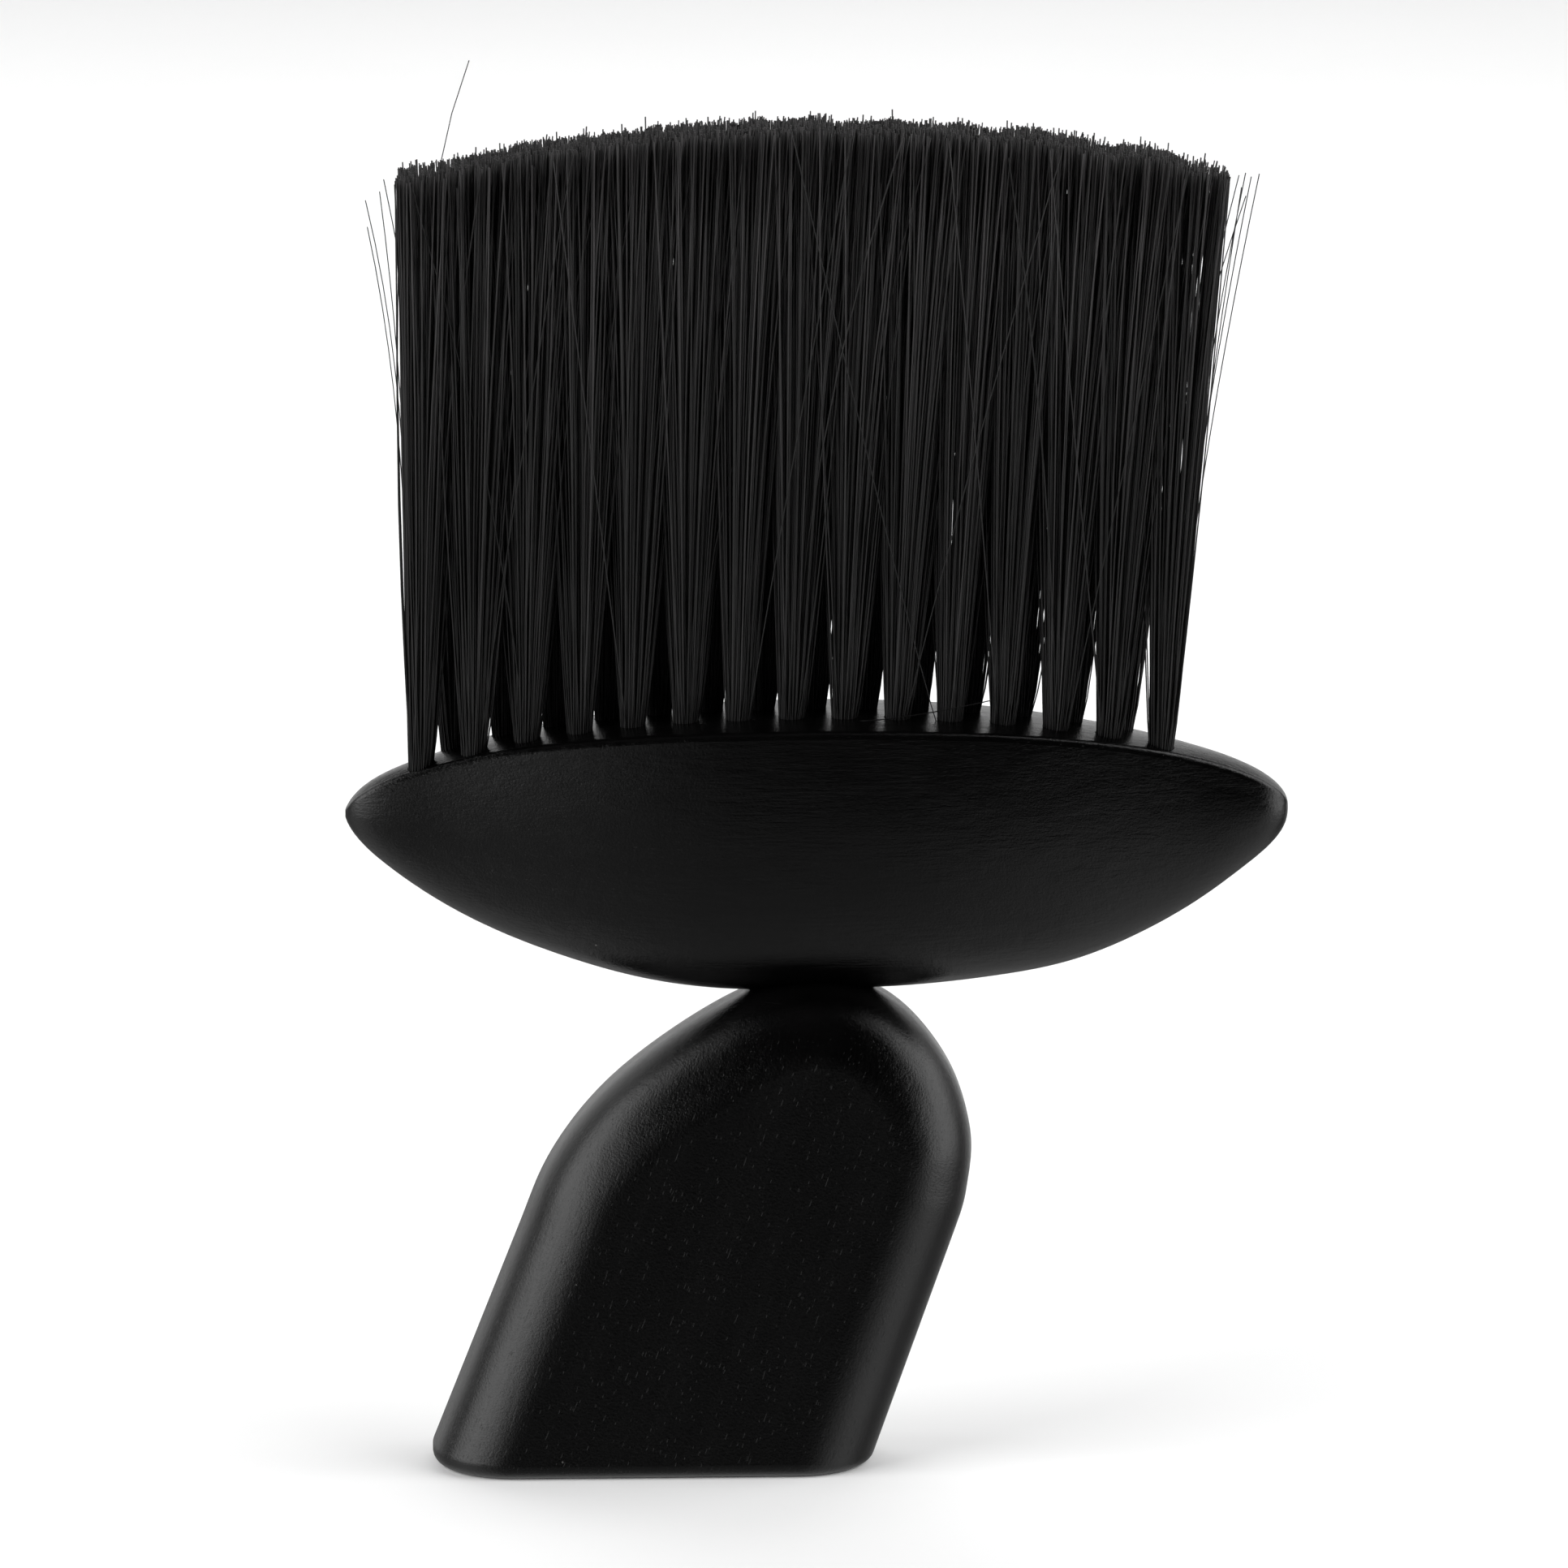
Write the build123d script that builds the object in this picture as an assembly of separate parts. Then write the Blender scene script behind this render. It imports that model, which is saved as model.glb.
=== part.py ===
from build123d import *
import math
import os

# Neck duster brush: a boat-shaped wooden head, a leaning wooden grip that is
# coped and dowelled to its underside, and two staggered rows of wire-anchored
# nylon tufts.  Millimetres, +Z up, X along the head, Y through its thickness.
# The grip stands on Z = 0.

# ---------------------------------------------------------------- dimensions
# head: height of the top face and of the keel along its length; the right
# end is left a little fuller than the left one
TOP_LEFT = [(0.0, 98.30), (10.0, 98.15), (21.4, 97.60), (28.1, 97.00),
            (34.9, 96.10), (41.9, 94.85), (47.5, 93.40), (52.2, 91.80),
            (54.5, 91.00), (56.6, 89.95), (58.2, 88.90), (59.4, 87.95),
            (60.15, 87.08), (60.40, 86.55), (60.48, 86.25)]
TOP_RIGHT = [(0.0, 98.30), (10.0, 98.15), (21.4, 97.60), (28.1, 97.00),
             (34.9, 96.10), (41.9, 94.88), (47.5, 93.62), (52.2, 92.08),
             (54.5, 91.25), (56.6, 90.28), (58.2, 89.25), (59.4, 88.25),
             (60.15, 87.30), (60.40, 86.68), (60.48, 86.32)]
KEEL_LEFT = [(0.0, 62.45), (8.0, 62.45), (14.3, 62.75), (22.6, 64.10),
             (31.0, 66.50), (39.3, 69.60), (47.6, 73.85), (53.8, 78.00),
             (57.9, 81.60), (59.3, 83.15), (60.15, 84.50), (60.40, 85.15),
             (60.48, 85.50)]
KEEL_RIGHT = [(0.0, 62.45), (8.0, 62.60), (15.0, 63.15), (23.3, 64.05),
              (31.7, 65.65), (40.1, 68.80), (48.4, 73.35), (52.5, 76.35),
              (56.7, 79.60), (58.8, 81.65), (60.15, 84.10), (60.40, 85.00),
              (60.48, 85.45)]
# half thickness of the hull at its widest line
PLAN_LEFT = [(0.0, 11.25), (10.0, 10.98), (20.0, 10.10), (30.0, 8.55),
             (38.0, 6.95), (44.0, 5.62), (49.0, 4.60), (53.0, 3.90),
             (56.0, 3.30), (58.0, 2.65), (59.3, 1.90), (60.1, 1.10),
             (60.40, 0.62), (60.48, 0.30)]
PLAN_RIGHT = [(0.0, 11.25), (10.0, 10.98), (20.0, 10.10), (30.0, 8.60),
              (38.0, 7.10), (44.0, 5.90), (49.0, 5.05), (53.0, 4.50),
              (56.0, 4.00), (58.0, 3.48), (59.3, 2.65), (60.1, 1.55),
              (60.40, 0.85), (60.48, 0.38)]
TIP_X = 60.50            # half length of the head
TIP_Z = 85.90            # height of the tips
WIDEST_RISE = 6.0        # the widest line of the hull rises this much mid length
TOP_ROUND = 1.0          # small round between top face and flanks
TOP_CROWN = 0.45         # rise of the top face between its two long edges
TUMBLEHOME = 0.985       # top face's width over the widest, at mid length
SECTION_POWER = 2.15     # fullness of the hull section
SECTIONS = 17            # sections the hull is lofted through
SWEEP = 87.8             # degrees; places the last sections at the tips

# grip: outline of its middle plane, foot left, up the back, over the dome and
# down the other flank
GRIP_LEFT_FOOT = (-50.75, 0.0)
GRIP_LEFT_SHOULDER = (-38.30, 31.6)
GRIP_DOME = [(-36.0, 37.5), (-32.3, 43.9), (-27.0, 50.1), (-20.3, 55.6),
             (-13.2, 60.2), (-7.2, 63.0), (-0.6, 64.2), (5.6, 63.3),
             (10.6, 60.5), (14.7, 56.1), (17.6, 51.3), (19.3, 46.3),
             (19.9, 41.6), (19.35, 36.6)]
GRIP_RIGHT_SHOULDER = (18.0, 31.4)
GRIP_RIGHT_FOOT = (6.95, 0.0)
GRIP_THICK = 22.0
GRIP_ROUND = 9.8         # round-over of the long edges and the dome
FOOT_ROUND = 1.9         # round-over of the foot's rim

# dowel between grip and head
DOWEL_X = -1.0
DOWEL_R = 3.0
DOWEL_Z0 = 48.0
DOWEL_Z1 = 78.0
DOWEL_END_GAP = 0.6

# tufts
FRONT_COUNT = 15
FRONT_X0 = -50.75
FRONT_PITCH = 6.76
REAR_COUNT = 14
REAR_X0 = -46.60
REAR_PITCH = 6.595
ROW_OFFSET = 3.0         # rows sit this far either side of the middle plane
WALL_MIN = 0.4           # wood left between a hole and the top face's edge
HOLE_R = 1.70
HOLE_DEPTH = 7.0
ROOT_R = 1.65
TIP_HALF_LEFT = -53.0    # ends of the field at the tips
TIP_HALF_RIGHT = 51.6
TIP_HALF_DEPTH = 6.7
TIP_GAP = 0.08
TIP_TOP = 174.7          # height of the trimmed tips at mid length
TIP_SAG = 6.3            # drop of the trimmed arc at the ends
TIP_SPAN = 53.0

# wire anchors
ANCHOR_T = 0.32
ANCHOR_H = 1.6
ANCHOR_W = 3.7
ANCHOR_UP = 0.7          # anchor's foot above the bottom of the hole

os.makedirs("parts", exist_ok=True)


# ------------------------------------------------------------------- helpers
def table(points, x):
    """Smooth (monotone cubic) reading of a table of x, value."""
    x = abs(x)
    xs = [p[0] for p in points]
    ys = [p[1] for p in points]
    n = len(xs)
    d = [(ys[i + 1] - ys[i]) / (xs[i + 1] - xs[i]) for i in range(n - 1)]
    m = [0.0] + [0.0 if d[i - 1] * d[i] <= 0 else
                 2 * d[i - 1] * d[i] / (d[i - 1] + d[i])
                 for i in range(1, n - 1)] + [d[-1]]
    for i in range(n - 1):
        if x <= xs[i + 1] or i == n - 2:
            h = xs[i + 1] - xs[i]
            t = (x - xs[i]) / h
            return ((2 * t ** 3 - 3 * t ** 2 + 1) * ys[i]
                    + (t ** 3 - 2 * t ** 2 + t) * h * m[i]
                    + (-2 * t ** 3 + 3 * t ** 2) * ys[i + 1]
                    + (t ** 3 - t ** 2) * h * m[i + 1])
    return ys[-1]


def top_z(x):
    return table(TOP_LEFT if x < 0 else TOP_RIGHT, x)


def keel_z(x):
    return table(KEEL_LEFT if x < 0 else KEEL_RIGHT, x)


def half_thick(x):
    """Half thickness of the hull at its widest line."""
    return table(PLAN_LEFT if x < 0 else PLAN_RIGHT, x)


def half_top(x):
    """Half width of the top face, less than the widest line below it."""
    u = abs(x) / TIP_X
    return half_thick(x) * (TUMBLEHOME - 0.06 * u ** 4)


def crown(x):
    """Rise of the top face at its middle, less where the face is narrow."""
    return min(TOP_CROWN, 0.14 * half_top(x))


def widest_z(x):
    return TIP_Z + WIDEST_RISE * (1 - (x / TIP_X) ** 2)


def head_section(x):
    """One closed cross-section of the hull, in the plane at this x: a barely
    crowned top, small rounds, flanks that swell to the widest line and run in
    to the keel."""
    zt, zb, ze = top_z(x), keel_z(x), widest_z(x)
    w, wt = half_thick(x), half_top(x)
    ze = min(ze, zt - 0.16 * (zt - zb))
    lean = math.atan(2 * (w - wt) / (zt - ze))
    r = min(TOP_ROUND, 0.35 * wt, 0.25 * (zt - ze))
    t = r / math.tan((math.pi / 2 + lean) / 2)
    start = (wt + t * math.sin(lean), zt - t * math.cos(lean))
    mid_len = math.hypot(t, r)
    mid = (wt - t + r * t / mid_len, zt - r + r * r / mid_len)

    half = [start]
    for i in range(1, 5):
        z = start[1] + (ze - start[1]) * i / 5
        half.append((w - (w - wt) * ((z - ze) / (zt - ze)) ** 2, z))
    steps = 11
    for i in range(steps + 1):
        a = math.pi / 2 * i / steps
        half.append((w * math.cos(a) if i < steps else 0.0,
                     ze - (ze - zb) * math.sin(a) ** (2 / SECTION_POWER)))
    pts = [(x, y, z) for y, z in half] + [(x, -y, z) for y, z in half[-2::-1]]

    top = Edge.make_three_point_arc((x, -(wt - t), zt), (x, 0, zt + crown(x)),
                                    (x, wt - t, zt))
    a1 = Edge.make_three_point_arc((x, wt - t, zt), (x, mid[0], mid[1]), pts[0])
    flank = Edge.make_spline(
        [Vector(*p) for p in pts],
        tangents=[Vector(0, math.sin(lean), -math.cos(lean)),
                  Vector(0, math.sin(lean), math.cos(lean))])
    a2 = Edge.make_three_point_arc(pts[-1], (x, -mid[0], mid[1]),
                                   (x, -(wt - t), zt))
    return Wire([top, a1, flank, a2])


def row_y(x):
    return min(ROW_OFFSET, half_top(x) - HOLE_R - WALL_MIN)


def tip_z(x):
    return TIP_TOP - TIP_SAG * (x / TIP_SPAN) ** 2


# ---------------------------------------------------------------------- head
# sections crowd towards the tips, where the hull closes fastest
stations = [TIP_X * math.sin(math.radians(SWEEP * (2 * i / (SECTIONS - 1) - 1)))
            for i in range(SECTIONS)]
hull = Solid.make_loft([head_section(x) for x in stations])

# ------------------------------------------------------------------ the grip
with BuildSketch(Plane.XZ) as outline:
    with BuildLine():
        left = Line(GRIP_LEFT_FOOT, GRIP_LEFT_SHOULDER)
        right = Line(GRIP_RIGHT_SHOULDER, GRIP_RIGHT_FOOT)
        Spline([GRIP_LEFT_SHOULDER] + GRIP_DOME + [GRIP_RIGHT_SHOULDER],
               tangents=[left % 1, right % 0])
        Line(GRIP_RIGHT_FOOT, GRIP_LEFT_FOOT)
    make_face()
block = extrude(outline.sketch, amount=GRIP_THICK / 2, both=True)

long_edges = [e for e in block.edges()
              if abs(abs(e.center().Y) - GRIP_THICK / 2) < 1e-3
              and e.bounding_box().max.Z > 1.0]
grip = fillet(long_edges, GRIP_ROUND)
foot_edges = [e for e in grip.edges()
              if e.bounding_box().max.Z < 1e-3]
grip = fillet(foot_edges, FOOT_ROUND)

# --------------------------------------------------------------------- dowel
dowel = Pos(DOWEL_X, 0, DOWEL_Z0) * Cylinder(
    DOWEL_R, DOWEL_Z1 - DOWEL_Z0,
    align=(Align.CENTER, Align.CENTER, Align.MIN))
dowel = chamfer(dowel.edges().filter_by(GeomType.CIRCLE), 0.6)
bore = Pos(DOWEL_X, 0, DOWEL_Z0 - DOWEL_END_GAP) * Cylinder(
    DOWEL_R, DOWEL_Z1 - DOWEL_Z0 + 2 * DOWEL_END_GAP,
    align=(Align.CENTER, Align.CENTER, Align.MIN))

handle = (grip - hull) - bore

# ---------------------------------------------------------- tufts and anchors
places = [("front", i, FRONT_X0 + FRONT_PITCH * i, -1) for i in range(FRONT_COUNT)]
places += [("rear", i, REAR_X0 + REAR_PITCH * i, 1) for i in range(REAR_COUNT)]

trim_pts = [(x, tip_z(x)) for x in range(-60, 61, 6)]
with BuildSketch(Plane.XZ) as under:
    with BuildLine():
        Spline(trim_pts)
        Polyline([trim_pts[-1], (60, 60), (-60, 60), trim_pts[0]])
    make_face()
trim = extrude(under.sketch, amount=20, both=True)

tufts = {}
anchors = {"front": [], "rear": []}
holes = []
for row, i, x, side in places:
    y = side * row_y(x)
    count = FRONT_COUNT if row == "front" else REAR_COUNT
    cell = (TIP_HALF_RIGHT - TIP_HALF_LEFT) / count
    x_lo = TIP_HALF_LEFT + cell * i + TIP_GAP / 2
    x_hi = x_lo + cell - TIP_GAP
    y_in, y_out = side * TIP_GAP / 2, side * TIP_HALF_DEPTH
    rim = max(top_z(x - HOLE_R), top_z(x + HOLE_R)) + crown(x)
    floor = top_z(x) - HOLE_DEPTH

    holes.append(Pos(x, y, floor) * Cylinder(
        HOLE_R, HOLE_DEPTH + 10, align=(Align.CENTER, Align.CENTER, Align.MIN)))

    root = Pos(x, y, floor) * Cylinder(
        ROOT_R, rim + 0.15 - floor, align=(Align.CENTER, Align.CENTER, Align.MIN))
    z0, z1 = rim + 0.15, TIP_TOP + 2.0
    low = Plane(origin=(x, y, z0)) * Circle(ROOT_R)
    cx, cy = (x_lo + x_hi) / 2, (y_in + y_out) / 2
    high = Plane(origin=(cx, cy, z1)) * RectangleRounded(
        x_hi - x_lo, abs(y_out - y_in), 1.6)
    brush = loft([low, high], ruled=True)
    tuft = (root + brush) & trim

    plate = Pos(x, y, floor + ANCHOR_UP) * Box(
        ANCHOR_W, ANCHOR_T, ANCHOR_H,
        align=(Align.CENTER, Align.CENTER, Align.MIN))
    anchors[row].append(plate)
    tufts["tuft_%s_%02d" % (row, i + 1)] = tuft - plate

head = hull - (holes + anchors["front"] + anchors["rear"] + [bore])

# -------------------------------------------------------------------- export
nodes = {"head_block": head, "handle": handle, "dowel": dowel,
         "front_anchors": Compound(children=anchors["front"]),
         "rear_anchors": Compound(children=anchors["rear"])}
nodes.update(tufts)
for name, shape in nodes.items():
    export_step(shape, "parts/%s.step" % name)
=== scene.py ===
import math

import bpy
import numpy as np
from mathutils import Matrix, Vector


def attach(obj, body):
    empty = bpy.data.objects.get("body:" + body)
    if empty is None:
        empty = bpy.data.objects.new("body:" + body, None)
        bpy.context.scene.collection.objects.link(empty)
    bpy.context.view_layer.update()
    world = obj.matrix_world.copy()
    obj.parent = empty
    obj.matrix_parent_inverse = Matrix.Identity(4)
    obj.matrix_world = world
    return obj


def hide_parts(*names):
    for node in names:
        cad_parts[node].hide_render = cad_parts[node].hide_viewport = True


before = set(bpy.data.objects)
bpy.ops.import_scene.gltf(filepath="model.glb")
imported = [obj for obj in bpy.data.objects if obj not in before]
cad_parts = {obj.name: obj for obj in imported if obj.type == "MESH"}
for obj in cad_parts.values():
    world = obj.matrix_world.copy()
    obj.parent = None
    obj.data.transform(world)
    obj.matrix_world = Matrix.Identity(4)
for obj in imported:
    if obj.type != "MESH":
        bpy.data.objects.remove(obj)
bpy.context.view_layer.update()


MM = 0.001
scene = bpy.context.scene
scene.view_settings.view_transform = "Standard"
scene.view_settings.look = "None"

# --------------------------------------------------------------------- camera
DIST, AZ, EL = 1.300, math.radians(-2.0), math.radians(12.0)
TARGET = Vector((-0.00426, 0.0, 0.0893))
forward = Vector((math.sin(-AZ) * math.cos(EL), math.cos(AZ) * math.cos(EL),
                  -math.sin(EL)))
cam_data = bpy.data.cameras.new("camera")
cam_data.sensor_width = 36.0
cam_data.lens = 36.0 * 1300.0 / (1932 * 0.104)
cam_data.clip_start, cam_data.clip_end = 0.05, 50.0
cam = bpy.data.objects.new("camera", cam_data)
scene.collection.objects.link(cam)
cam.location = TARGET - forward * DIST
cam.rotation_euler = forward.to_track_quat("-Z", "Y").to_euler()
scene.camera = cam


# --------------------------------------------------------------- node helpers
class Tree:
    """A short way to write a node tree."""

    def __init__(self, tree):
        self.t = tree
        tree.nodes.clear()

    def node(self, kind, **props):
        n = self.t.nodes.new(kind)
        for k, v in props.items():
            setattr(n, k, v)
        return n

    def put(self, socket, value):
        if isinstance(value, bpy.types.NodeSocket):
            self.t.links.new(value, socket)
        elif value is not None:
            socket.default_value = value

    def math(self, op, a, b=None, c=None, clamp=False):
        n = self.node("ShaderNodeMath", operation=op, use_clamp=clamp)
        for s, v in zip(n.inputs, (a, b, c)):
            self.put(s, v)
        return n.outputs[0]

    def vmath(self, op, a, b=None):
        n = self.node("ShaderNodeVectorMath", operation=op)
        self.put(n.inputs[0], a)
        if b is not None:
            self.put(n.inputs[1], b)
        return n.outputs["Value" if op in ("DOT_PRODUCT", "LENGTH") else "Vector"]

    def span(self, x, a, b, lo=0.0, hi=1.0, smooth=True):
        n = self.node("ShaderNodeMapRange",
                      interpolation_type="SMOOTHSTEP" if smooth else "LINEAR")
        for s, v in zip(n.inputs, (x, a, b, lo, hi)):
            self.put(s, v)
        return n.outputs[0]

    def noise(self, vec, scale, detail=2.0, rough=0.5, dist=0.0):
        n = self.node("ShaderNodeTexNoise")
        self.put(n.inputs["Vector"], vec)
        n.inputs["Scale"].default_value = scale
        n.inputs["Detail"].default_value = detail
        n.inputs["Roughness"].default_value = rough
        n.inputs["Distortion"].default_value = dist
        return n.outputs[0]

    def mapping(self, vec, rot=(0, 0, 0), scale=(1, 1, 1), loc=(0, 0, 0)):
        n = self.node("ShaderNodeMapping")
        self.put(n.inputs["Vector"], vec)
        n.inputs["Rotation"].default_value = rot
        n.inputs["Scale"].default_value = scale
        n.inputs["Location"].default_value = loc
        return n.outputs[0]

    def mix(self, fac, a, b):
        n = self.node("ShaderNodeMix", data_type="RGBA")
        self.put(n.inputs[0], fac)
        self.put(n.inputs[6], a)
        self.put(n.inputs[7], b)
        return n.outputs[2]


# ------------------------------------------------------- floor, world, lights
FLOOR = 0.0


def build_floor():
    size, steps = 1.6, 2
    verts = [(-size, -0.9, FLOOR), (size, -0.9, FLOOR), (size, 1.6, FLOOR), (-size, 1.6, FLOOR)]
    me = bpy.data.meshes.new("floor")
    me.from_pydata(verts, [], [(0, 1, 2, 3)])
    ob = bpy.data.objects.new("floor", me)
    scene.collection.objects.link(ob)
    mat = bpy.data.materials.new("floor_pale")
    mat.use_nodes = True
    t = Tree(mat.node_tree)
    out = t.node("ShaderNodeOutputMaterial")
    b = t.node("ShaderNodeBsdfPrincipled")
    tc = t.node("ShaderNodeTexCoord").outputs["Object"]
    n = t.noise(tc, 6.0, 3.0)
    col = t.mix(n, (0.86, 0.86, 0.86, 1), (0.89, 0.89, 0.89, 1))
    t.put(b.inputs["Base Color"], col)
    b.inputs["Roughness"].default_value = 0.9
    b.inputs["Specular IOR Level"].default_value = 0.2
    t.t.links.new(b.outputs[0], out.inputs[0])
    me.materials.append(mat)
    ob.visible_glossy = False
    return ob


build_floor()


def build_world():
    """Even white for the camera and for soft light; for reflections a studio:
    softboxes left and right of the camera, a pale wall behind, a dark front
    and a dim table."""
    w = bpy.data.worlds.new("studio")
    scene.world = w
    w.use_nodes = True
    t = Tree(w.node_tree)
    out = t.node("ShaderNodeOutputWorld")
    d = t.node("ShaderNodeTexCoord").outputs["Generated"]
    sep = t.node("ShaderNodeSeparateXYZ")
    t.put(sep.inputs[0], d)
    x, y, z = sep.outputs
    deg = 180.0 / math.pi
    # azimuth 0 towards -Y, the front; positive towards +X
    az = t.math("MULTIPLY", t.math("ARCTAN2", x, t.math("MULTIPLY", y, -1.0)), deg)
    el = t.math("MULTIPLY", t.math("ARCSINE", z), deg)

    def ramp(stops, value, a, b):
        """Piecewise linear strength over a value that runs a..b."""
        u = t.math("DIVIDE", t.math("SUBTRACT", value, a), b - a)
        n = t.node("ShaderNodeValToRGB")
        e = n.color_ramp.elements
        while len(e) > 1:
            e.remove(e[-1])
        for i, (v, k) in enumerate(stops):
            q = e[0] if i == 0 else e.new((v - a) / (b - a))
            q.position = (v - a) / (b - a)
            q.color = (k / 4.0, k / 4.0, k / 4.0, 1)
        t.put(n.inputs[0], u)
        sep2 = t.node("ShaderNodeSeparateColor")
        t.put(sep2.inputs[0], n.outputs[0])
        return t.math("MULTIPLY", sep2.outputs[0], 4.0)

    # what is seen level and above
    # both softboxes lean outwards with height
    rise_l = t.math("MAXIMUM", t.math("ADD", el, 6.0), 0.0)
    lean_l = t.math("MULTIPLY", t.math("MULTIPLY", rise_l, 1.08), t.span(az, -120.0, -90.0))
    rise_r = t.math("MINIMUM", t.math("MAXIMUM", t.math("ADD", el, 10.0), 0.0), 38.0)
    lean_r = t.math("MULTIPLY", t.math("MULTIPLY", rise_r, 0.80),
                    t.math("MULTIPLY", t.span(az, 136.0, 120.0), t.span(az, 15.0, 30.0)))
    turned = t.math("MINIMUM", t.math("ADD", az, lean_l), t.math("MAXIMUM", az, 0.0))
    high = ramp(HIGH_RING, t.math("SUBTRACT", turned, lean_r), -180.0, 180.0)
    # what is seen 15 to 35 degrees below level
    low = ramp(LOW_RING, az, -180.0, 180.0)
    # straight below and above
    left = t.math("SUBTRACT", 1.0, t.span(az, -16.0, -6.0))
    mix_low = t.math("ADD", t.math("MULTIPLY", left, t.span(el, -9.0, -2.0)),
                     t.math("MULTIPLY", t.math("SUBTRACT", 1.0, left),
                            t.span(el, BEND_LOW[0], BEND_LOW[1])))
    ring = t.math("ADD", t.math("MULTIPLY", low, t.math("SUBTRACT", 1.0, mix_low)),
                  t.math("MULTIPLY", high, mix_low))
    under = t.span(el, -36.0, -52.0)
    ring = t.math("ADD", t.math("MULTIPLY", ring, t.math("SUBTRACT", 1.0, under)),
                  t.math("MULTIPLY", under, ramp(UNDER_RING, az, -180.0, 180.0)))
    # the left softbox ends about 48 degrees up, the right one about 72, the
    # wall behind much lower
    rear = t.span(t.math("ABSOLUTE", az), 128.0, 148.0)
    side = t.math("MULTIPLY", t.span(az, 0.0, 40.0), 24.0)
    top_end = t.math("SUBTRACT", t.math("ADD", side, 51.0),
                     t.math("MULTIPLY", rear, t.math("ADD", side, 22.0)))
    above = t.span(t.math("SUBTRACT", el, top_end), -7.0, 7.0)
    ring = t.math("ADD", t.math("MULTIPLY", ring, t.math("SUBTRACT", 1.0, above)),
                  t.math("MULTIPLY", above, 0.05))

    lp = t.node("ShaderNodeLightPath")
    glossy = t.node("ShaderNodeBackground")
    t.put(glossy.inputs["Strength"], ring)
    plain = t.node("ShaderNodeBackground")
    plain.inputs["Color"].default_value = (1, 1, 1, 1)
    plain.inputs["Strength"].default_value = 1.0
    mixer = t.node("ShaderNodeMixShader")
    t.put(mixer.inputs[0], lp.outputs["Is Camera Ray"])
    t.t.links.new(glossy.outputs[0], mixer.inputs[1])
    t.t.links.new(plain.outputs[0], mixer.inputs[2])
    t.t.links.new(mixer.outputs[0], out.inputs[0])


HIGH_RING = [(-180, 0.9), (-145, 1.1), (-130, 1.0), (-119, 0.65), (-107, 0.30),
             (-90, 0.25), (-81, 1.1), (-72, 3.4), (-45, 3.3), (-32, 3.0), (-24, 1.5),
             (-15, 0.20), (-8, 0.01), (0, 0.01), (38, 0.01), (45, 0.25), (53, 2.9),
             (88, 2.6), (101, 0.95), (113, 0.06), (128, 0.10), (142, 0.8), (180, 0.9)]
LOW_RING = [(-180, 0.3), (-110, 0.4), (-90, 0.80), (-60, 0.90), (-45, 0.66), (-33, 0.38),
            (-10, 0.21), (15, 0.22), (24, 0.42), (33, 0.62), (46, 0.75), (60, 0.90),
            (75, 1.00), (86, 0.75), (106, 0.20), (180, 0.3)]
UNDER_RING = [(-180, 0.6), (-130, 0.75), (-80, 0.80), (-60, 0.74), (-50, 0.70),
              (-40, 0.50), (-30, 0.36), (-20, 0.29), (0, 0.27), (10, 0.28), (20, 0.36),
              (30, 0.50), (40, 0.60), (50, 0.70), (80, 0.80), (130, 0.65), (180, 0.6)]
BEND_LOW = (-23.0, -11.0)
build_world()


def area(name, loc, aim, size, power):
    l = bpy.data.lights.new(name, "AREA")
    l.shape = "RECTANGLE"
    l.size, l.size_y = size
    l.energy = power
    o = bpy.data.objects.new(name, l)
    scene.collection.objects.link(o)
    o.location = loc
    o.rotation_euler = (Vector(aim) - Vector(loc)).to_track_quat("-Z", "Y").to_euler()
    o.visible_glossy = False
    return o


area("soft_left", (-1.1, -0.6, 0.8), (0, 0.1, 0.0), (1.0, 1.0), 13.0)
area("soft_right", (1.1, -0.5, 0.85), (0, 0.1, 0.0), (0.9, 1.0), 11.0)
area("soft_rear", (0.0, 1.1, 1.1), (0, 0.2, 0.0), (1.8, 0.9), 12.0)


# ------------------------------------------------------------------ materials
LEAN = math.radians(20.4)


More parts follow.
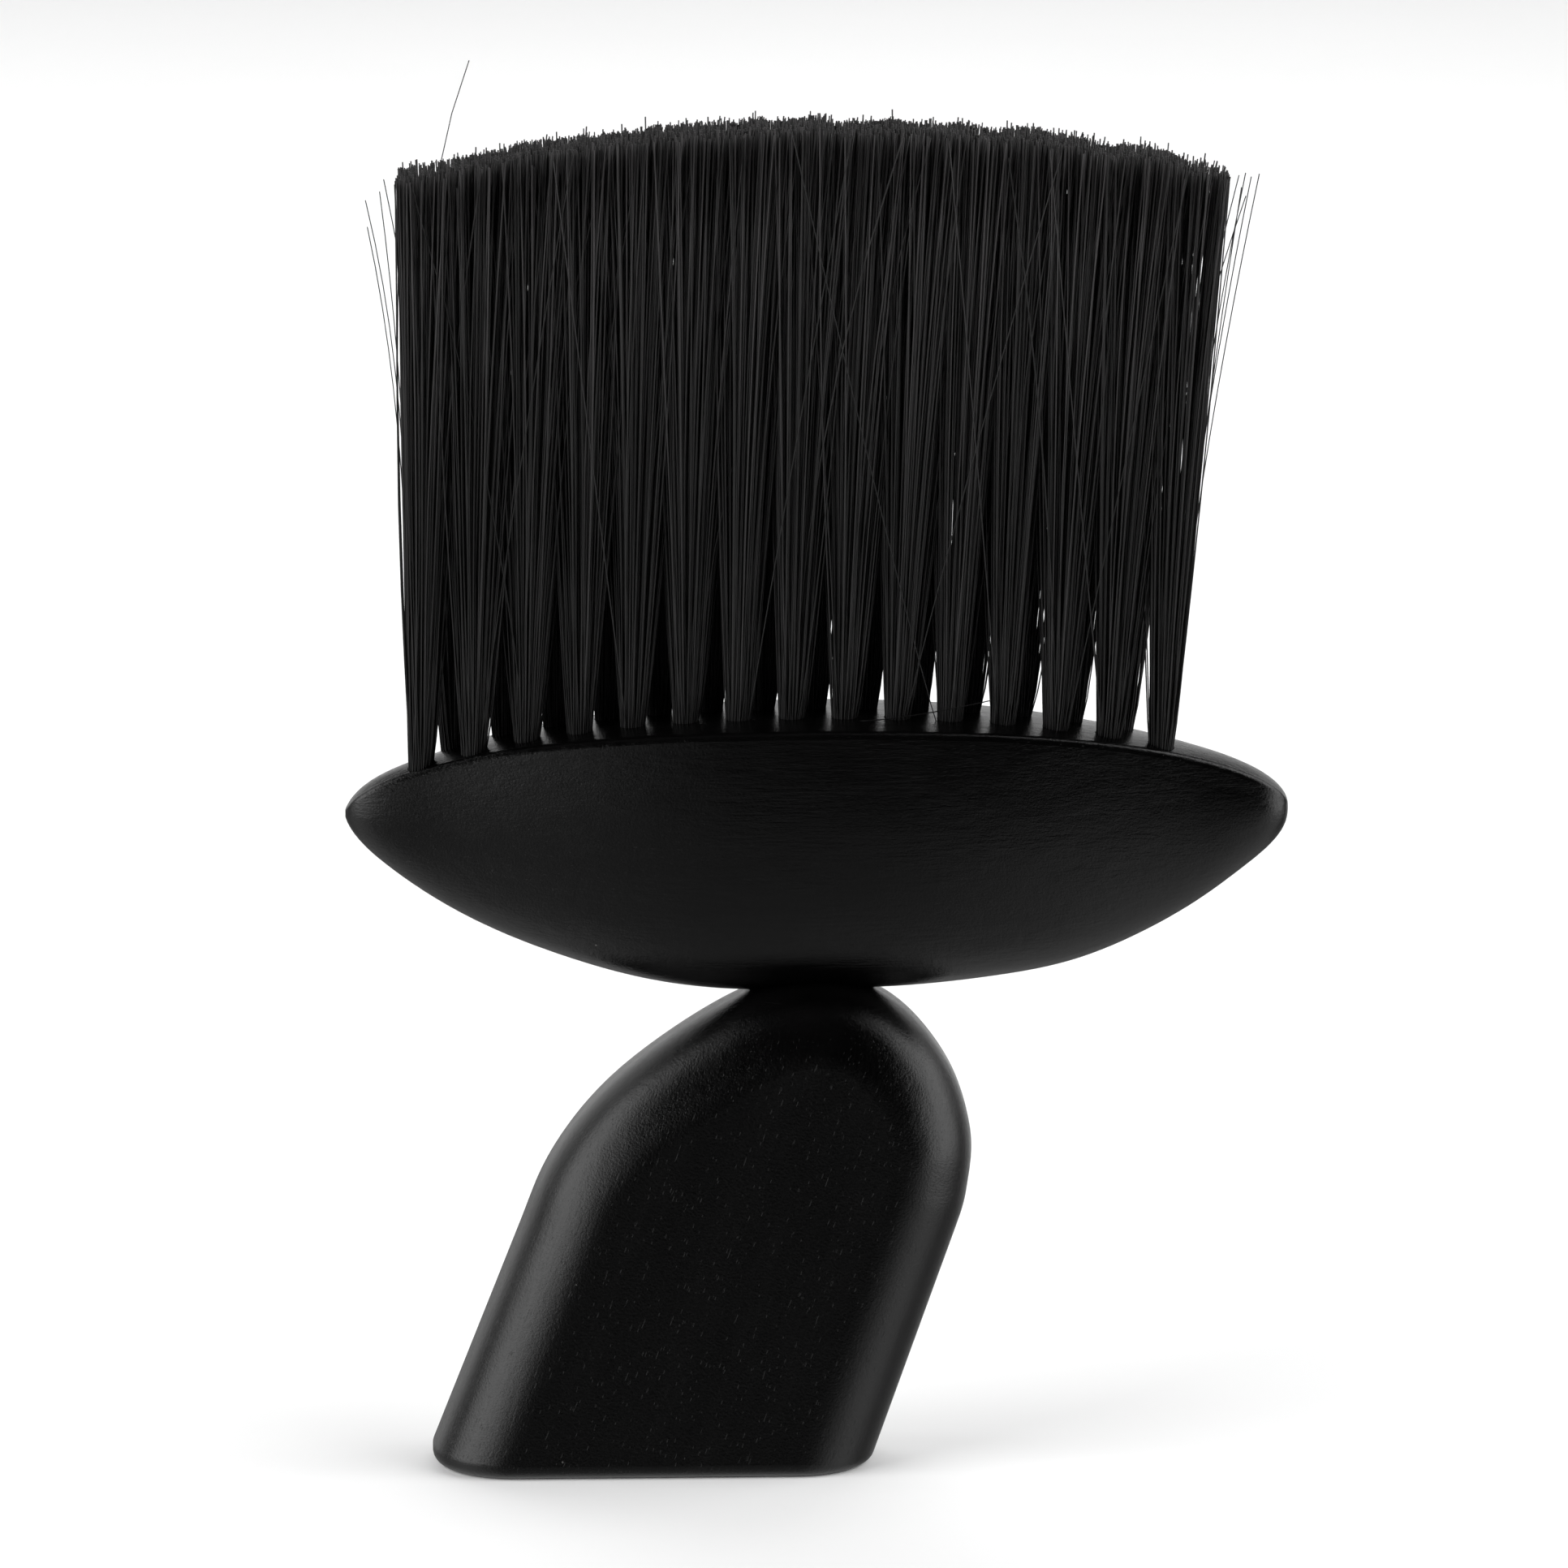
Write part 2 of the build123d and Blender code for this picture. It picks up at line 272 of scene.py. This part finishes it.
def lacquered_wood(name, along, streak, grit, base=0.0010):
    """Black stained hardwood under thin satin lacquer. along turns object
    space so that the grain runs along its Z; streak and grit are the heights
    of the fibres' relief and of the lacquer's even fine relief."""
    mat = bpy.data.materials.new(name)
    mat.use_nodes = True
    t = Tree(mat.node_tree)
    out = t.node("ShaderNodeOutputMaterial")
    b = t.node("ShaderNodeBsdfPrincipled")
    tc = t.node("ShaderNodeTexCoord").outputs["Object"]
    v = t.mapping(tc, rot=along)
    # fibres, about 0.4 mm across and 5 mm long
    fibre = t.noise(t.mapping(v, scale=(2500, 2500, 200)), 1.0, 4.0, 0.62)
    # slow waves left by hand sanding
    wave = t.noise(t.mapping(v, scale=(430, 430, 150)), 1.0, 1.0, 0.5)
    # broad growth bands
    band = t.noise(t.mapping(v, scale=(330, 330, 16)), 1.0, 2.0, 0.5, 0.3)
    # where the sanding left the fibres a little proud
    worn = t.span(t.noise(t.mapping(v, scale=(190, 190, 75)), 1.0, 2.0), 0.38, 0.62)
    # open pores: short sunk streaks
    pore = t.noise(t.mapping(v, scale=(5200, 5200, 700), loc=(3, 1, 2)), 1.0, 1.0)
    pores = t.span(pore, 0.69, 0.76)
    # the lacquer's fine grit
    skin = t.noise(tc, 3300.0, 3.0, 0.70)
    dust_v = t.node("ShaderNodeTexVoronoi", feature="F1")
    t.put(dust_v.inputs["Vector"], tc)
    dust_v.inputs["Scale"].default_value = 240.0
    speck = t.span(dust_v.outputs["Distance"], 0.040, 0.018)
    rare = t.math("GREATER_THAN", t.noise(tc, 150.0, 0.0), 0.62)
    speck = t.math("MULTIPLY", speck, rare)
    # hairline scratches
    line = t.noise(t.mapping(tc, rot=(0.3, 0.5, 0.2), scale=(70, 70, 5200)), 1.0, 1.0, 0.5, 0.15)
    hair = t.math("MULTIPLY", t.span(line, 0.735, 0.76),
                  t.span(t.noise(tc, 95.0, 1.0), 0.58, 0.66))

    tone = t.mix(t.span(band, 0.35, 0.65), (base * 0.85, base * 0.82, base * 0.86, 1),
                 (base * 1.30, base * 1.22, base * 1.26, 1))
    tone = t.mix(t.math("MULTIPLY", pores, 0.6), tone, (0.0012, 0.0012, 0.0012, 1))
    tone = t.mix(t.math("MULTIPLY", speck, 0.35), tone, (0.22, 0.22, 0.21, 1))
    tone = t.mix(t.math("MULTIPLY", hair, 0.015), tone, (0.25, 0.25, 0.25, 1))
    t.put(b.inputs["Base Color"], tone)
    rough = t.math("ADD", t.span(fibre, 0.3, 0.7, 0.130, 0.240),
                   t.math("MULTIPLY", worn, 0.03))
    t.put(b.inputs["Roughness"], rough)
    b.inputs["IOR"].default_value = 1.5

    rise = t.math("MULTIPLY", fibre, t.span(worn, 0.0, 1.0, 0.55 * streak, 1.25 * streak))
    h = t.math("ADD", rise, t.math("MULTIPLY", band, 0.30))
    h = t.math("ADD", h, t.math("MULTIPLY", wave, 0.55))
    h = t.math("SUBTRACT", h, t.math("MULTIPLY", pores, 0.30))
    h = t.math("ADD", h, t.math("MULTIPLY", skin, grit))
    bump = t.node("ShaderNodeBump")
    bump.inputs["Strength"].default_value = 0.50
    bump.inputs["Distance"].default_value = 0.00010
    t.put(bump.inputs["Height"], h)
    t.t.links.new(bump.outputs[0], b.inputs["Normal"])
    t.t.links.new(b.outputs[0], out.inputs[0])
    return mat


head_mat = lacquered_wood("wood_head", (0.0, math.radians(-90), 0.0), 0.95, 0.70, 0.0007)
grip_mat = lacquered_wood("wood_grip", (0.0, -LEAN, 0.0), 0.34, 1.00, 0.0008)


def bare_wood():
    mat = bpy.data.materials.new("wood_beech")
    mat.use_nodes = True
    t = Tree(mat.node_tree)
    out = t.node("ShaderNodeOutputMaterial")
    b = t.node("ShaderNodeBsdfPrincipled")
    tc = t.node("ShaderNodeTexCoord").outputs["Object"]
    fleck = t.noise(t.mapping(tc, scale=(1800, 1800, 160)), 1.0, 3.0, 0.6)
    t.put(b.inputs["Base Color"], t.mix(t.span(fleck, 0.35, 0.7), (0.66, 0.50, 0.33, 1),
                                        (0.50, 0.34, 0.20, 1)))
    t.put(b.inputs["Roughness"], t.span(fleck, 0.3, 0.7, 0.55, 0.7))
    bump = t.node("ShaderNodeBump")
    bump.inputs["Strength"].default_value = 0.3
    bump.inputs["Distance"].default_value = 0.0001
    t.put(bump.inputs["Height"], fleck)
    t.t.links.new(bump.outputs[0], b.inputs["Normal"])
    t.t.links.new(b.outputs[0], out.inputs[0])
    return mat


def wire():
    mat = bpy.data.materials.new("wire_flat")
    mat.use_nodes = True
    t = Tree(mat.node_tree)
    out = t.node("ShaderNodeOutputMaterial")
    b = t.node("ShaderNodeBsdfPrincipled")
    tc = t.node("ShaderNodeTexCoord").outputs["Object"]
    n = t.noise(t.mapping(tc, scale=(300, 3000, 3000)), 1.0, 2.0)
    t.put(b.inputs["Base Color"], t.mix(n, (0.50, 0.48, 0.45, 1), (0.62, 0.60, 0.57, 1)))
    b.inputs["Metallic"].default_value = 1.0
    t.put(b.inputs["Roughness"], t.span(n, 0.3, 0.7, 0.3, 0.45))
    t.t.links.new(b.outputs[0], out.inputs[0])
    return mat


def bristle():
    """Black nylon filament: small steps of tone from one to the next, a soft
    sheen, painted shade near the roots and painted light towards the trimmed tips."""
    mat = bpy.data.materials.new("nylon_black")
    mat.use_nodes = True
    t = Tree(mat.node_tree)
    out = t.node("ShaderNodeOutputMaterial")
    b = t.node("ShaderNodeBsdfPrincipled")
    geo = t.node("ShaderNodeNewGeometry")
    r = geo.outputs["Random Per Island"]
    tc = t.node("ShaderNodeTexCoord").outputs["Object"]
    streak = t.noise(t.mapping(tc, scale=(900, 900, 60)), 1.0, 2.0)
    col = t.mix(t.math("POWER", r, 2.2), (0.0024, 0.0023, 0.0023, 1),
                (0.0150, 0.0142, 0.0146, 1))
    col = t.mix(t.math("MULTIPLY", t.span(streak, 0.4, 0.7), 0.4), col, (0.004, 0.004, 0.004, 1))
    # painted shade darkens the filaments around the roots; painted light makes them paler
    # towards the tips
    sep = t.node("ShaderNodeSeparateXYZ")
    t.put(sep.inputs[0], tc)
    # painted light: a paler colour from mid length up to the trimmed tips
    col = t.mix(t.span(sep.outputs[2], 0.115, 0.170), col, t.mix(
        t.math("POWER", r, 1.7), (0.0060, 0.0058, 0.0058, 1), (0.0360, 0.0340, 0.0348, 1)))
    # painted shade: nearly black over the lowest few millimetres above the roots
    col = t.mix(t.span(sep.outputs[2], 0.106, 0.093), col, (0.0008, 0.0008, 0.0008, 1))
    t.put(b.inputs["Base Color"], col)
    t.put(b.inputs["Roughness"], t.span(t.math("FRACT", t.math("MULTIPLY", r, 7.31)), 0.0, 1.0, 0.40, 0.60, smooth=False))
    b.inputs["Specular IOR Level"].default_value = 0.5
    fine = t.noise(tc, 9000.0, 2.0)
    bump = t.node("ShaderNodeBump")
    bump.inputs["Strength"].default_value = 0.2
    bump.inputs["Distance"].default_value = 0.00001
    t.put(bump.inputs["Height"], fine)
    t.t.links.new(bump.outputs[0], b.inputs["Normal"])
    t.t.links.new(b.outputs[0], out.inputs[0])
    return mat


bristle_mat = bristle()


def dress(name, mat):
    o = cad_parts[name]
    if not o.material_slots:
        o.data.materials.append(mat)
    for s in o.material_slots:
        s.link = "OBJECT"
        s.material = mat


dress("head_block", head_mat)
dress("handle", grip_mat)
dress("dowel", bare_wood())
steel = wire()
dress("front_anchors", steel)
dress("rear_anchors", steel)

# ------------------------------------------------------------------ filaments
# Millimetres from here to the mesh. The tables repeat the head's top face and
# the two rows of holes.
HEAD_TOP = np.array([(0.0, 98.30), (10.0, 98.15), (21.4, 97.60), (28.1, 97.00),
                     (34.9, 96.10), (41.9, 94.85), (47.5, 93.40), (52.2, 91.80),
                     (54.5, 91.00), (56.6, 89.95), (58.2, 88.90), (59.4, 87.95)])
PLAN = np.array([(0.0, 11.25), (10.0, 10.98), (20.0, 10.10), (30.0, 8.55), (38.0, 6.95),
                 (44.0, 5.62), (49.0, 4.60), (53.0, 3.90), (56.0, 3.30)])
# count, first hole, pitch, side, lean of the first and of the last tuft
ROW = {"front": (15, -50.75, 6.76, -1.0, 0.7, 4.6),
       "rear": (14, -46.60, 6.595, 1.0, -1.2, 4.9)}
TIP_TOP, TIP_SAG, TIP_SPAN = 174.7, 6.3, 53.0
FIELD = (-53.5, 52.2)
DEPTH = 6.6
HOLE_R = 1.7
ROOT_R = 1.56
RADIUS = 0.101
SIDES = 6
RINGS = np.array([0.0, 0.045, 0.10, 0.18, 0.30, 0.45, 0.62, 0.80, 1.0])


def top_z(x):
    return float(np.interp(abs(x), HEAD_TOP[:, 0], HEAD_TOP[:, 1]))


def row_y(x):
    half_top = np.interp(abs(x), PLAN[:, 0], PLAN[:, 1]) * (
        0.985 - 0.06 * (abs(x) / 60.5) ** 4)
    return min(3.0, float(half_top) - HOLE_R - 0.4)


def tip_z(x):
    return TIP_TOP - TIP_SAG * (x / TIP_SPAN) ** 2


def squeeze(x, lo, hi, soft):
    """Keeps x inside lo..hi with a soft shoulder."""
    mid, half = (lo + hi) / 2, (hi - lo) / 2
    u = np.abs(x - mid)
    over = np.maximum(u - (half - soft), 0.0)
    u = np.where(over > 0, half - soft + soft * (1 - np.exp(-over / soft)), u)
    return mid + np.sign(x - mid) * u


def tube_mesh(name, paths, radii):
    """One mesh of closed many-sided tubes. paths is (count, rings, 3) in mm."""
    count, rings, _ = paths.shape
    tan = np.gradient(paths, axis=1)
    tan /= np.linalg.norm(tan, axis=2, keepdims=True)
    ref = np.zeros_like(tan)
    ref[..., 1] = 1.0
    side = np.cross(tan, ref)
    side /= np.linalg.norm(side, axis=2, keepdims=True)
    other = np.cross(side, tan)
    ang = np.arange(SIDES) / SIDES * 2 * math.pi + math.pi / SIDES
    ring = (side[:, :, None, :] * np.cos(ang)[None, None, :, None]
            + other[:, :, None, :] * np.sin(ang)[None, None, :, None])
    co = paths[:, :, None, :] + ring * radii[:, :, None, None]
    verts = (co.reshape(-1, 3) * MM).astype(np.float32)
    k = np.arange(SIDES)
    k2 = (k + 1) % SIDES
    base = (np.arange(count) * rings * SIDES)[:, None, None]
    row = (np.arange(rings - 1) * SIDES)[None, :, None]
    a, b_ = base + row + k, base + row + k2
    quads = np.stack([a, b_, b_ + SIDES, a + SIDES], axis=-1).reshape(-1, 4)
    foot = (np.arange(count) * rings * SIDES)[:, None] + k[::-1]
    head = (np.arange(count) * rings * SIDES)[:, None] + (rings - 1) * SIDES + k
    loops = np.concatenate([quads.ravel(), foot.ravel(), head.ravel()])
    sizes = np.concatenate([np.full(len(quads), 4), np.full(2 * count, SIDES)])
    starts = np.concatenate([[0], np.cumsum(sizes)[:-1]])
    me = bpy.data.meshes.new(name)
    me.vertices.add(len(verts))
    me.vertices.foreach_set("co", verts.ravel())
    me.loops.add(len(loops))
    me.loops.foreach_set("vertex_index", loops.astype(np.int32))
    me.polygons.add(len(sizes))
    me.polygons.foreach_set("loop_start", starts.astype(np.int32))
    flags = np.ones(len(sizes), bool)
    flags[len(quads):] = False
    me.polygons.foreach_set("use_smooth", flags)
    me.update(calc_edges=True)
    me.validate()
    ob = bpy.data.objects.new(name, me)
    scene.collection.objects.link(ob)
    me.materials.append(bristle_mat)
    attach(ob, "root")
    return ob


PER_TUFT = 208
rng = np.random.default_rng(20)
# a slow wave of the trimmed surface
wave_x = np.linspace(-60, 60, 49)
wave = rng.normal(0, 0.20, 49)
golden = math.pi * (3 - math.sqrt(5))

for row, (count, x0, pitch, sign, lean0, lean1) in ROW.items():
    for i in range(count):
        node = "tuft_%s_%02d" % (row, i + 1)
        xc = x0 + pitch * i
        yc = sign * row_y(xc)
        zt = top_z(xc)
        n = PER_TUFT
        k = np.arange(n) + 0.5
        rr = np.sqrt(k / n)
        th = k * golden + rng.uniform(0, 2 * math.pi)
        ux, uy = rr * np.cos(th), rr * np.sin(th)

        root = np.stack([xc + ux * ROOT_R, yc + uy * ROOT_R, np.full(n, zt)], axis=1)
        # where the tip lands: the tuft's own fan plus each filament's whim
        f = i / (count - 1)
        centre = xc + lean0 + (lean1 - lean0) * f + rng.normal(0, 0.35)
        fan = rng.uniform(5.6, 7.4)
        tx = centre + ux * fan + rng.normal(0, 1.25, n)
        # a few filaments cross well into the neighbouring tufts
        wild = rng.random(n) < 0.045 + 0.05 * f
        tx = np.where(wild, tx + rng.normal(0, 5.5, n), tx)
        tx = squeeze(tx, FIELD[0], FIELD[1], 2.6)
        ty = sign * 3.35 + uy * 2.9 + rng.normal(0, 0.75, n)
        ty = squeeze(ty, -DEPTH, DEPTH, 0.9)
        cut = (tip_z(tx) + np.interp(tx, wave_x, wave) + rng.normal(0, 0.25, n)
               - 0.012 * ty ** 2)
        cut = np.where(rng.random(n) < 0.04, cut + rng.uniform(0.3, 1.2, n), cut)
        cut = np.where(rng.random(n) < 0.05, cut - rng.uniform(0.5, 3.0, n), cut)
        tip = np.stack([tx, ty, cut], axis=1)

        s = RINGS[None, :, None]
        # the tuft stands straight from its hole, then opens
        ease = 0.80 * s + 0.16 * s * s + 0.04 * (1 - np.exp(-s / 0.03))
        late = np.where(wild, rng.uniform(0.5, 1.0, n), rng.uniform(-0.06, 0.10, n))
        ease = ease * np.power(np.maximum(s, 1e-4), late[:, None, None])
        path = root[:, None, :] + (tip - root)[:, None, :] * np.concatenate(
            [ease, ease, np.broadcast_to(s, ease.shape)], axis=2)
        bow = np.stack([rng.normal(0, 0.42, n), rng.normal(0, 0.25, n), np.zeros(n)], axis=1)
        path = path + bow[:, None, :] * np.sin(math.pi * s)
        # straight down into the hole
        foot = root.copy()
        foot[:, 2] = zt - 5.6
        path = np.concatenate([foot[:, None, :], path], axis=1)
        radii = np.full(path.shape[:2], RADIUS) * rng.uniform(0.88, 1.08, (n, 1))
        ob = tube_mesh("bristles_%s_%02d" % (row, i + 1), path, radii)
        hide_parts(node)

# single hairs that left the field or lie across its front: row, tuft, where
# the hair starts within the root, where it ends (x, y, height over the
# trimmed arc), how late it bends
STRAYS = [
    ("front", 0, (0.4, -0.4), (-44.0, -2.0, 12.8), 5.8),
    ("front", 0, (-1.2, -0.2), (-57.2, -1.5, -2.0), 3.4),
    ("front", 0, (-1.3, 0.3), (-57.0, -0.5, -5.6), 3.0),
    ("front", 0, (-1.0, -0.8), (-55.4, -2.5, -1.2), 2.6),
    ("rear", 0, (-1.2, 0.2), (-54.9, 3.0, -0.6), 2.2),
    ("front", 14, (1.3, -0.3), (55.8, -2.6, 0.6), 1.45),
    ("front", 14, (1.2, 0.4), (54.9, -1.2, -0.2), 1.5),
    ("front", 14, (1.3, 0.0), (54.0, -3.4, 0.4), 1.7),
    ("front", 14, (1.0, -0.9), (53.4, -4.6, -1.4), 1.3),
    ("rear", 13, (1.2, 0.3), (54.6, 3.2, -3.4), 1.7),
    ("rear", 13, (1.3, -0.2), (53.6, 2.0, -0.8), 1.4),
    ("front", 10, (-0.8, -1.2), (-3.4, -6.9, -0.6), 0.92),
    ("front", 11, (-0.6, -1.2), (16.3, -7.0, -0.8), 1.1),
    ("front", 4, (-0.4, -1.2), (-33.5, -6.9, -1.2), 1.0),
    ("front", 1, (0.5, -1.2), (-31.0, -6.8, -0.5), 1.15),
    ("front", 13, (-0.5, -1.2), (29.0, -6.9, -0.7), 0.95),
    ("front", 9, (0.4, -1.2), (30.5, -6.9, -0.9), 1.1),
    ("front", 12, (0.7, -1.2), (46.5, -6.8, -0.6), 1.0),
    ("front", 6, (0.8, -1.2), (4.0, -6.9, -0.8), 1.05),
]
s = np.linspace(0, 1, 15)
paths = []
for row, i, (ux, uy), (tx, ty, over), late in STRAYS:
    count, x0, pitch, sign, lean0, lean1 = ROW[row]
    xc = x0 + pitch * i
    yc = sign * row_y(xc)
    z0 = top_z(xc)
    z1 = tip_z(tx) + over
    paths.append(np.stack([xc + ux + (tx - xc - ux) * s ** late,
                           yc + uy + (ty - yc - uy) * s ** 0.8,
                           z0 - 3.0 + (z1 - z0 + 3.0) * s], axis=1))
# one lies nearly flat along the roots
flat = np.linspace(0, 1, 15)
paths.append(np.stack([5.0 + 17.0 * flat, -5.2 - 0.5 * np.sin(math.pi * flat),
                       98.5 + 2.6 * flat ** 1.3], axis=1))
paths = np.array(paths)
tube_mesh("stray_hairs", paths, np.full(paths.shape[:2], 0.075))
